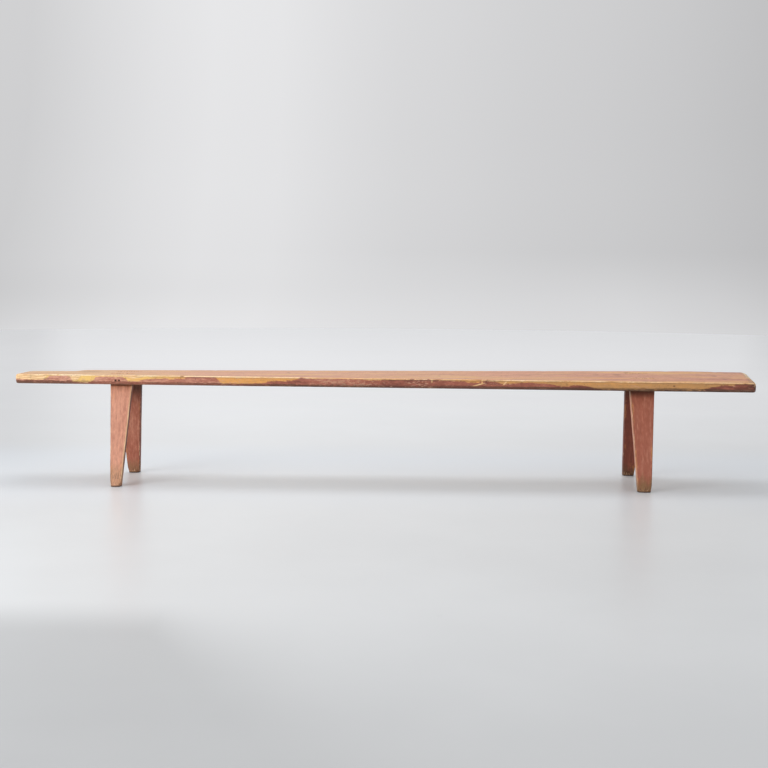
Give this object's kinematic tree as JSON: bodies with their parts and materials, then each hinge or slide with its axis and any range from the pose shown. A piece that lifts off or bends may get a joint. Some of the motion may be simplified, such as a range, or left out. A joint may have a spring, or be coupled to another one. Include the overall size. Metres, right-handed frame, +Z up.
{
  "type": "plank bench",
  "caption": "Long low farmhouse bench: a thick tapering seat plank on splayed board legs, each through-tenoned and wedged into the plank, in worn old paint",
  "frame": {"origin": "middle of the bench's box on the floor: half way along, midway between the front and rear soles, at the level of the soles", "axes": "+X runs along the bench towards its wider right end, +Y runs from the front edge to the rear, +Z is up"},
  "size_m": [3.041, 0.4472, 0.4642],
  "materials": {
    "seat_paint": "softwood under old red-brown paint over yellow ochre, worn to bare wood on the arrises",
    "leg_paint": "softwood under old red-brown paint, rubbed at the arrises and soles",
    "wedge_wood": "end grain of a hard wedge, painted over and worn",
    "nail_iron": "rusted forged iron"
  },
  "bodies": {
    "root": {"seat_plank": "seat_paint", "front_left_leg": "leg_paint", "rear_left_leg": "leg_paint", "front_right_leg": "leg_paint", "rear_right_leg": "leg_paint", "front_left_outer_wedge": "wedge_wood", "front_left_inner_wedge": "wedge_wood", "rear_left_outer_wedge": "wedge_wood", "rear_left_inner_wedge": "wedge_wood", "front_right_outer_wedge": "wedge_wood", "front_right_inner_wedge": "wedge_wood", "rear_right_outer_wedge": "wedge_wood", "rear_right_inner_wedge": "wedge_wood", "front_left_nails": "nail_iron"}
  },
  "joints": []
}
